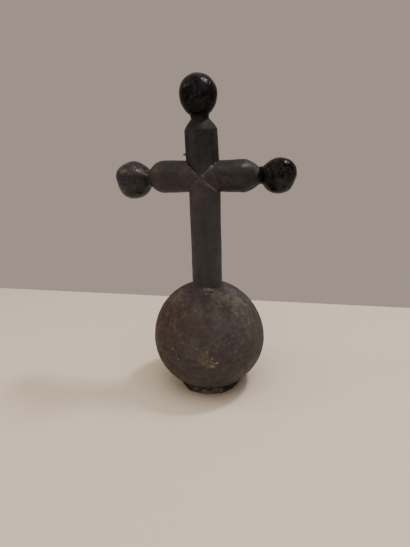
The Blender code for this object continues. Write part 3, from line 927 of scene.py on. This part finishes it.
def left_finial_patina():
    # Cast lead kept greyer than its neighbours: silvery, with a painted cool reflection in front, a painted
    # highlight at its upper right, and yellowish crust on two sides, the one by the neck partly a painted
    # highlight
    tone = tones()
    coat = Patina("Greyed cast lead, left finial", tone.finial_bloom_and_highlight, 0.0, (0.22, 0.4), 0.26)
    coat.layer(tone.finial_body, 0.6, coat.cloud(7, 0.42, 0.66, shift=1.3, detail=5.0))
    coat.patches(LEFT_FINIAL_STAINS_AND_PAINTED_LIGHT)
    coat.layer(tone.finial_body, 0.5, coat.cloud(1.8, 0.5, 0.68, shift=3.3))
    coat.layer(tone.pale, 0.2, coat.cloud(1.3, 0.58, 0.74, shift=5.3, detail=2.0))
    return coat.done(1.6, 0.4)


def solder_patina(place, body):
    # Wiped solder dulled to the tone of the lead: satin, purplish on the left, rubbed paler on the right
    tone = tones()
    coat = Patina("Plumber's wiped solder, " + place, body, 0.1, (0.46, 0.66), 0.25)
    coat.layer(tone.arm_body, 0.4, coat.cloud(5, 0.4, 0.65))
    coat.layer(tone.tint, 0.5, coat.cloud(3, 0.44, 0.62, shift=2.2))
    coat.patches(SOLDER_STAINS)
    pale_front = coat.spot((0, -18, 112), 9, 0.7, 2, 0.2)
    coat.layer(tone.pale, 0.4, pale_front, coat.cloud(2.4, 0.4, 0.65, shift=1.1))
    coat.layer(tone.ball_deep, 0.8, coat.spot((-9, -15, 113), 10, 0.7, 2, 0.2))
    return coat.done(0.9, 0.2)


def bare_solder():
    # Drops of solder left bare: paler than the lead, pinkish, with a soft gloss
    tone = tones()
    coat = Patina("Bare solder", tone.pale, 0.3, (0.3, 0.5), 0.5)
    coat.layer(tone.tint, 0.6, coat.cloud(1.2, 0.42, 0.6))
    return coat.done(0.8, 0.1)


def foot_patina():
    # Dressed lead with dirt in it: matte, nearly black in its creases, with painted light along its lit front
    # and painted shade at its two ends
    tone = tones()
    coat = Patina("Dirty dressed lead, foot", tone.foot_body, 0.0, (0.55, 0.8), 0.3)
    coat.layer(tone.finial_body, 0.8, coat.cloud(5, 0.34, 0.6, detail=4.0))
    # Painted light: paler along the foot's lit front
    pale_front = coat.spot((5, -33, 2), 20, 0.7, 3, 0.2)
    coat.layer(tone.pale, 0.7, pale_front, coat.cloud(2.4, 0.42, 0.62, shift=2.0))
    coat.patches(FOOT_END_SHADE)
    return coat.done(1.2, 0.25)


def plain(name, tone, roughness):
    """A plain matte material for the stage."""
    material = bpy.data.materials.new(name)
    material.use_nodes = True
    shader = material.node_tree.nodes["Principled BSDF"]
    shader.inputs["Base Color"].default_value = rgba(tone)
    shader.inputs["Roughness"].default_value = roughness
    return material


# Half-size of the floor, how far it reaches behind the cross, and its turn
FLOOR_HALF = 1.2
FLOOR_BEHIND = 0.233
FLOOR_TURN = radians(1.06)
FLOOR_ROUGHNESS = 0.8

# Soft lights, as (name, place, size, watts, colour, seen in gloss)
# The wide one only fills, and leaves no mirror image on the finials
LIGHTS = (
    ("ceiling_light", (0.10, -0.35, 1.30), 1.3, 11.6, "#FFF2E4", False),
    ("right_key", (0.50, 0.24, 1.22), 0.18, 7.4, "#FFFAF2", True),
    ("left_fill", (-0.93, -0.21, 0.90), 0.2, 1.9, "#FFE0BC", True),
)
LIGHTS_AIM = Vector((0, 0, 0.18))


class CROSS_OT_stage(bpy.types.Operator):
    """Sets the camera, the soft lights and the plain pale floor."""

    bl_idname = "cross.stage"
    bl_label = "Stage"

    def execute(self, context):
        self.make_camera(context)
        self.make_floor(context)
        self.make_lights(context)
        return {"FINISHED"}

    def make_camera(self, context):
        data = bpy.data.cameras.new("camera")
        data.sensor_width = SENSOR
        data.lens = FOCAL_PIXELS * SENSOR / max(FRAME_WIDTH, FRAME_HEIGHT)
        camera = bpy.data.objects.new("camera", data)
        level = Matrix.Rotation(CAMERA_AZIMUTH, 4, "Z")
        aim = (
            Matrix.Translation((0, -CAMERA_DISTANCE, CAMERA_HEIGHT))
            @ Matrix.Rotation(-CAMERA_PAN, 4, "Z")
            @ Matrix.Rotation(pi / 2 - CAMERA_PITCH, 4, "X")
            @ Matrix.Rotation(-CAMERA_ROLL, 4, "Z")
        )
        camera.matrix_world = level @ aim
        context.scene.collection.objects.link(camera)
        context.scene.camera = camera

    def make_floor(self, context):
        bm = bmesh.new()
        bmesh.ops.create_grid(bm, x_segments=1, y_segments=1, size=1.0)
        shape = Matrix.Rotation(FLOOR_TURN, 4, "Z") @ Matrix.Translation((0, FLOOR_BEHIND - FLOOR_HALF, 0))
        bm.transform(shape @ Matrix.Scale(FLOOR_HALF, 4))
        mesh = bpy.data.meshes.new("floor")
        bm.to_mesh(mesh)
        bm.free()
        mesh.materials.append(plain("Matte painted board", tones().floor, FLOOR_ROUGHNESS))
        floor = bpy.data.objects.new("floor", mesh)
        context.scene.collection.objects.link(floor)

    def make_lights(self, context):
        world = bpy.data.worlds.new("Soft room light")
        world.use_nodes = True
        background = world.node_tree.nodes["Background"]
        background.inputs["Color"].default_value = rgba(tones().backdrop)
        background.inputs["Strength"].default_value = 1.0
        context.scene.world = world
        for name, place, size, energy, tint, in_gloss in LIGHTS:
            data = bpy.data.lights.new(name, "AREA")
            data.shape = "DISK"
            data.size = size
            data.energy = energy
            data.color = hex_colour(tint)
            light = bpy.data.objects.new(name, data)
            light.location = place
            light.rotation_euler = (LIGHTS_AIM - light.location).to_track_quat("-Z", "Y").to_euler()
            light.visible_glossy = in_gloss
            context.scene.collection.objects.link(light)


class CROSS_OT_foot(bpy.types.Operator):
    """Makes the dressed foot with its blunt-cornered lip."""

    bl_idname = "cross.foot"
    bl_label = "Foot"

    def execute(self, context):
        size = sizes()
        bm = bmesh.new()
        bmesh.ops.create_circle(bm, segments=FOOT_STEPS, radius=1.0)
        ring = bm.edges[:]
        top, lean = size.foot_height, size.foot_batter
        batter = lean / (top - size.lip_thickness)
        # Heights and insets: the lip with its edges worn round, the leaning wall, the worn rim and the top
        levels = [(0.0, 0.6 * MM), (0.35 * MM, 0.1 * MM), (0.8 * MM, 0.0), (size.lip_thickness, 0.1 * MM)]
        wall = arc(size.lip_thickness, top - 0.5 * MM, 8)[1:]
        levels += [(z, 0.1 * MM + (z - size.lip_thickness) * batter) for z in wall]
        levels += [(top - 0.15 * MM, lean + 0.2 * MM), (top, lean + 0.7 * MM)]
        levels += [(top, lean + inset * MM) for inset in (1.5, 2.3, 3.1)]
        for index, (z, inset) in enumerate(levels):
            if index:
                pulled = bmesh.ops.extrude_edge_only(bm, edges=ring)["geom"]
                ring = [item for item in pulled if isinstance(item, bmesh.types.BMEdge) and item.is_boundary]
            for vert in {vert for edge in ring for vert in edge.verts}:
                turn = atan2(vert.co.y, vert.co.x)
                radius = lip_radius(turn * 180 / pi) - inset
                vert.co = (radius * cos(turn), radius * sin(turn), z)
            if index in (0, len(levels) - 1):
                bmesh.ops.edgeloop_fill(bm, edges=ring)
        bmesh.ops.recalc_face_normals(bm, faces=bm.faces)
        roughen(bm, ((9, 0.7), (3.5, 0.4), (1.2, 0.1)), seed=3.0, keep=lambda co: co.z < 0.2 * MM)
        finish_piece("dressed_foot", bm, foot_patina(), "foot_collar")
        return {"FINISHED"}


class CROSS_OT_ball(bpy.types.Operator):
    """Makes the large cast ball with its lumps, pits and crust."""

    bl_idname = "cross.ball"
    bl_label = "Ball"

    def execute(self, context):
        size = sizes()
        bm = bmesh.new()
        bmesh.ops.create_uvsphere(bm, u_segments=BALL_STEPS[0], v_segments=BALL_STEPS[1], radius=1.0)
        for vert in bm.verts:
            vert.co = ball_point(vert.co)
        dress(bm, Vector((0, 0, size.ball_centre)), BALL_KNOCKS)
        roughen(bm, ((34, 0.45), (11, 0.2), (3.2, 0.09), (1.3, 0.04)), seed=1.0)
        bm.normal_update()
        for centre, reach, height, seed in CRUST_LUMPS:
            raise_lump(bm, Vector(centre) * MM, reach, height, seed)
        for centre, reach in BALL_SPECKS:
            raise_lump(bm, Vector(centre) * MM, reach, SPECK_HEIGHT, seed=6.0)
        # Its hidden underside is flat, just over the floor of the foot
        floor = size.foot_floor + 0.3 * MM
        for vert in bm.verts:
            vert.co.z = max(vert.co.z, floor)
        finish_piece("cast_ball", bm, ball_patina(), "base_ball")
        return {"FINISHED"}


class CROSS_OT_shaft(bpy.types.Operator):
    """Makes the lowest member of the cross, scribed to the ball and mitred at its head."""

    bl_idname = "cross.shaft"
    bl_label = "Shaft"

    def execute(self, context):
        size = sizes()
        bottom = ball_height(size.shaft_radius) - RUN_PAST
        top = size.crossing + RUN_PAST
        side = resampled([(size.shaft_radius, top), (size.shaft_radius, bottom)], SHAFT_SPACING)
        bm = spun([(0.0, top), *side, (0.0, bottom)], MEMBER_STEPS)
        roughen(bm, ((30, 0.3), (9, 0.1), (2.4, 0.04)), seed=7.0)
        cut_mitres(bm, (inner_corner(-1, -1), inner_corner(1, -1)))
        finish_piece("rolled_shaft", bm, shaft_patina(), "shaft")
        return {"FINISHED"}


# Each arm's name, its two inner corners as (side, level), tone, gloss, length of its streaks and seed
ARM_MAKING = (
    ("upper", ((-1, 1), (1, 1)), "upper_body", (0.56, 0.74), (2.6, 2.6, 34.0), 11.0),
    ("left", ((-1, -1), (-1, 1)), "arm_body", (0.42, 0.62), (34.0, 2.6, 2.6), 13.0),
    ("right", ((1, -1), (1, 1)), "right_arm_shaded_tone", (0.42, 0.62), (34.0, 2.6, 2.6), 17.0),
)


class CROSS_OT_arms(bpy.types.Operator):
    """Makes the upper arm and the two side arms, each mitred and drawn in to a neck."""

    bl_idname = "cross.arms"
    bl_label = "Arms"

    def execute(self, context):
        for name, corners, tone, gloss, along, seed in ARM_MAKING:
            arm = arm_sizes(name)
            bm = spun(arm_profile(arm), MEMBER_STEPS)
            bm.transform(arm_matrix(arm))
            roughen(bm, ((22, 0.3), (8, 0.14), (2.4, 0.05)), seed)
            cut_mitres(bm, [inner_corner(*corner) for corner in corners])
            patina = arm_patina(name, getattr(tones(), tone), gloss, seed, along)
            finish_piece("rolled_" + name + "_arm", bm, patina, name + "_arm")
        return {"FINISHED"}


class CROSS_OT_finials(bpy.types.Operator):
    """Makes the three cast balls on the necks, each with its own dents."""

    bl_idname = "cross.finials"
    bl_label = "Finials"

    def execute(self, context):
        finishes = {
            "upper": ("top_finial", finial_patina("top", 0.4), 21.0),
            "left": ("left_finial", left_finial_patina(), 23.0),
            "right": ("right_finial", finial_patina("right", 2.1), 29.0),
        }
        for name, (node, patina, seed) in finishes.items():
            arm = arm_sizes(name)
            bm = spun(finial_profile(arm), FINIAL_STEPS)
            bm.transform(finial_matrix(arm))
            centre = finial_matrix(arm) @ Vector((0, 0, ball_middle(arm)))
            dress(bm, centre, FINIAL_KNOCKS[name])
            roughen(bm, ((12, 0.55), (4.5, 0.22), (1.7, 0.08)), seed)
            finish_piece("cast_" + node, bm, patina, node)
        return {"FINISHED"}


# How unevenly the solder over the mitres runs: share of its radius, and length of a swelling
BEAD_SWELL = 0.35
BEAD_SWELL_LENGTH = 2.6 * MM


class CROSS_OT_crossing_solder(bpy.types.Operator):
    """Runs the raised solder over the four mitres, front and back."""

    bl_idname = "cross.crossing_solder"
    bl_label = "Crossing solder"

    def execute(self, context):
        material = solder_patina("crossing", tones().solder_body)
        for name, slope, replaced in (("rising_bead", 1, "crossing_solder"), ("falling_bead", -1, None)):
            left_half = seam_path(-1, -slope, HALF_BEAD_STEPS)
            front = [*reversed(left_half), *seam_path(1, slope, HALF_BEAD_STEPS)[1:]]
            back = [Vector((point.x, -point.y, point.z)) for point in reversed(front[1:-1])]
            path = front + back
            offset = Vector((slope, 3, 7))
            swells = [BEAD_SWELL * noise.noise(point / BEAD_SWELL_LENGTH + offset) for point in path]
            bm = swept(path, [sizes().bead * (1 + swell) for swell in swells], BEAD_SIDES)
            roughen(bm, ((3, 0.2), (1.2, 0.08)), seed=31.0 + slope)
            finish_piece(name, bm, material, replaced)
        return {"FINISHED"}


# Lumps of solder on the fillet, as (place, radius, height), in mm
FILLET_LUMPS = (
    ((-6.5, -16.0, 112.6), 4.2, 0.7),
    ((0.8, -17.2, 112.2), 2.6, 0.9),
    ((8.0, -15.4, 112.5), 3.6, 0.5),
)


class CROSS_OT_shaft_solder(bpy.types.Operator):
    """Fills the corner between shaft and ball with an uneven fillet of solder."""

    bl_idname = "cross.shaft_solder"
    bl_label = "Shaft solder"

    def execute(self, context):
        size = sizes()
        # A ring in section: a hollow curve from the shaft out to the ball, closed inside both
        inner = size.shaft_radius - 0.6 * MM
        outer = size.shaft_radius + size.fillet_width
        joint = ball_height(size.shaft_radius)
        profile = []
        for turn in arc(0.0, pi / 2, 12):
            radius = outer - (outer - size.shaft_radius) * sin(pi / 2 - turn)
            profile.append((radius, ball_height(radius) + size.fillet_height * (1 - sin(turn))))
        head, foot = joint + size.fillet_height, joint - RUN_PAST
        profile = [(inner, head), *profile, (outer, foot), (inner, foot)]
        bm = spun([*profile, profile[0]], FILLET_STEPS)
        dress(bm, Vector((0, 0, size.ball_centre)), BALL_KNOCKS)
        roughen(bm, ((8, 0.5), (3, 0.2), (0.9, 0.05)), seed=37.0)
        for centre, reach, height in FILLET_LUMPS:
            bm.normal_update()
            raise_lump(bm, Vector(centre) * MM, reach, height, seed=41.0)
        patina = solder_patina("shaft", tones().ball_grey)
        finish_piece("shaft_fillet", bm, patina, "shaft_solder")
        return {"FINISHED"}


# Drops and burrs of solder, as (name, place, half-sizes), in mm
SOLDER_DROPS = (
    ("solder_burr", (-16.9, -5.9, 243.4), (1.4, 1.3, 1.4)),
    ("solder_drip", (3.4, -21.9, 109.3), (1.0, 2.2, 1.5)),
    ("solder_crumb", (8.8, -16.9, 111.5), (1.1, 0.9, 0.8)),
)


class CROSS_OT_solder_drops(bpy.types.Operator):
    """Makes the drops that the solder left beside its joints."""

    bl_idname = "cross.solder_drops"
    bl_label = "Solder drops"

    def execute(self, context):
        material = bare_solder()
        for seed, (name, place, half_sizes) in enumerate(SOLDER_DROPS):
            bm = bmesh.new()
            bmesh.ops.create_uvsphere(bm, u_segments=DROP_STEPS[0], v_segments=DROP_STEPS[1], radius=1.0)
            bmesh.ops.scale(bm, vec=Vector(half_sizes) * MM, verts=bm.verts)
            bmesh.ops.translate(bm, vec=Vector(place) * MM, verts=bm.verts)
            roughen(bm, ((1.6, 0.5), (0.7, 0.15)), seed=43.0 + seed)
            finish_piece(name, bm, material, None)
        return {"FINISHED"}


class CROSS_PT_panel(bpy.types.Panel):
    """Lists the pieces of the cross, their sizes and their colours."""

    bl_label = "Lead Grave Cross"
    bl_idname = "CROSS_PT_panel"
    bl_space_type = "VIEW_3D"
    bl_region_type = "UI"
    bl_category = "Grave Cross"

    def draw(self, context):
        for operator in OPERATORS:
            self.layout.operator(operator.bl_idname)
        groups = [("Sizes", sizes()), *((name.title() + " arm", arm_sizes(name)) for name in ARMS)]
        for title, group in [*groups, ("Colours", tones())]:
            box = self.layout.box()
            box.label(text=title)
            for name in group.__annotations__:
                box.prop(group, name)


OPERATORS = (
    CROSS_OT_stage,
    CROSS_OT_foot,
    CROSS_OT_ball,
    CROSS_OT_shaft,
    CROSS_OT_arms,
    CROSS_OT_finials,
    CROSS_OT_crossing_solder,
    CROSS_OT_shaft_solder,
    CROSS_OT_solder_drops,
)
CLASSES = (ArmSizes, CrossSizes, CrossColours, *OPERATORS, CROSS_PT_panel)


def register():
    for cls in CLASSES:
        bpy.utils.register_class(cls)
    scene = bpy.types.Scene
    scene.cross_sizes = bpy.props.PointerProperty(type=CrossSizes)
    scene.cross_colours = bpy.props.PointerProperty(type=CrossColours)
    for name in ARMS:
        setattr(scene, "cross_" + name, bpy.props.PointerProperty(type=ArmSizes))


def unregister():
    for name in ("sizes", "colours", *ARMS):
        delattr(bpy.types.Scene, "cross_" + name)
    for cls in reversed(CLASSES):
        bpy.utils.unregister_class(cls)


def main():
    register()
    for name, values in ARMS.items():
        for key, value in values.items():
            setattr(arm_sizes(name), key, value)
    bpy.ops.cross.stage()
    bpy.ops.cross.foot()
    bpy.ops.cross.ball()
    bpy.ops.cross.shaft()
    bpy.ops.cross.arms()
    bpy.ops.cross.finials()
    bpy.ops.cross.crossing_solder()
    bpy.ops.cross.shaft_solder()
    bpy.ops.cross.solder_drops()
    bpy.context.view_layer.update()


if __name__ == "__main__":
    main()
